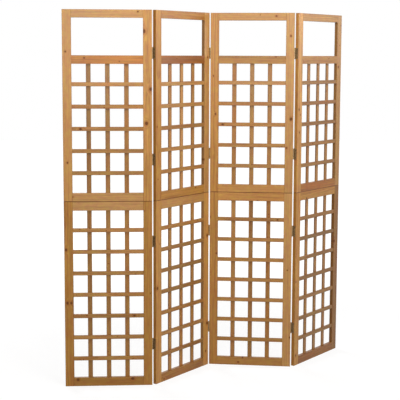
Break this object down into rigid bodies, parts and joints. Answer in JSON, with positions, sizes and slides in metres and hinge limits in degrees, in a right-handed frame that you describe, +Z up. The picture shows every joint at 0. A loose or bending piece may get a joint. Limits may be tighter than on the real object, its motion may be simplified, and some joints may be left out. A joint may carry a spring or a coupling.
{
  "type": "folding lattice screen",
  "caption": "Free-standing hinged wooden room divider: square lattice panels with an open window on top, folding concertina-fashion.",
  "frame": {"origin": "on the floor, in the middle of the footprint that the screen has in its open zigzag", "axes": "+X along the screen from its left end to its right end, +Y from its front to its back, +Z up"},
  "size_m": [1.5398, 0.2332, 1.8],
  "materials": {
    "pine_frame": "waxed honey-stained knotty pine, satin",
    "pine_slat": "waxed honey-stained pine slat, satin",
    "beech_dowel": "bare beech",
    "hinge_steel": "dull antique steel",
    "screw_steel": "dull antique steel"
  },
  "bodies": {
    "panel_1": {"panel_1_top_rail": "pine_frame", "panel_1_window_rail": "pine_frame", "panel_1_foot_rail": "pine_frame", "panel_1_head_rail": "pine_frame", "panel_1_bottom_rail": "pine_frame", "panel_1_upper_left_stile": "pine_frame", "panel_1_upper_right_stile": "pine_frame", "panel_1_lower_left_stile": "pine_frame", "panel_1_lower_right_stile": "pine_frame", "panel_1_uprights": "pine_slat", "panel_1_crossbars": "pine_slat", "panel_1_dowels": "beech_dowel", "panel_1_hinge_leaves": "hinge_steel", "panel_1_hinge_screws": "screw_steel", "hinge_pins_1_2": "hinge_steel"},
    "panel_2": {"panel_2_top_rail": "pine_frame", "panel_2_window_rail": "pine_frame", "panel_2_foot_rail": "pine_frame", "panel_2_head_rail": "pine_frame", "panel_2_bottom_rail": "pine_frame", "panel_2_upper_left_stile": "pine_frame", "panel_2_upper_right_stile": "pine_frame", "panel_2_lower_left_stile": "pine_frame", "panel_2_lower_right_stile": "pine_frame", "panel_2_uprights": "pine_slat", "panel_2_crossbars": "pine_slat", "panel_2_dowels": "beech_dowel", "panel_2_hinge_leaves": "hinge_steel", "panel_2_hinge_screws": "screw_steel", "hinge_pins_2_3": "hinge_steel"},
    "panel_3": {"panel_3_top_rail": "pine_frame", "panel_3_window_rail": "pine_frame", "panel_3_foot_rail": "pine_frame", "panel_3_head_rail": "pine_frame", "panel_3_bottom_rail": "pine_frame", "panel_3_upper_left_stile": "pine_frame", "panel_3_upper_right_stile": "pine_frame", "panel_3_lower_left_stile": "pine_frame", "panel_3_lower_right_stile": "pine_frame", "panel_3_uprights": "pine_slat", "panel_3_crossbars": "pine_slat", "panel_3_dowels": "beech_dowel", "panel_3_hinge_leaves": "hinge_steel", "panel_3_hinge_screws": "screw_steel", "hinge_pins_3_4": "hinge_steel"},
    "panel_4": {"panel_4_top_rail": "pine_frame", "panel_4_window_rail": "pine_frame", "panel_4_foot_rail": "pine_frame", "panel_4_head_rail": "pine_frame", "panel_4_bottom_rail": "pine_frame", "panel_4_upper_left_stile": "pine_frame", "panel_4_upper_right_stile": "pine_frame", "panel_4_lower_left_stile": "pine_frame", "panel_4_lower_right_stile": "pine_frame", "panel_4_uprights": "pine_slat", "panel_4_crossbars": "pine_slat", "panel_4_dowels": "beech_dowel", "panel_4_hinge_leaves": "hinge_steel", "panel_4_hinge_screws": "screw_steel"}
  },
  "joints": [
    {"name": "fold_1_2", "type": "hinge", "parent": "panel_1", "child": "panel_2", "pos_m": [-0.37344, -0.06988, 0.9], "axis": [0, 0, 1], "range_deg": [-48.8, 131.2]},
    {"name": "fold_2_3", "type": "hinge", "parent": "panel_2", "child": "panel_3", "pos_m": [0.01281, 0.09924, 0.9], "axis": [0, 0, -1], "range_deg": [-58.1, 121.9]},
    {"name": "fold_3_4", "type": "hinge", "parent": "panel_3", "child": "panel_4", "pos_m": [0.38489, -0.09913, 0.9], "axis": [0, 0, 1], "range_deg": [-57.5, 122.5]}
  ]
}
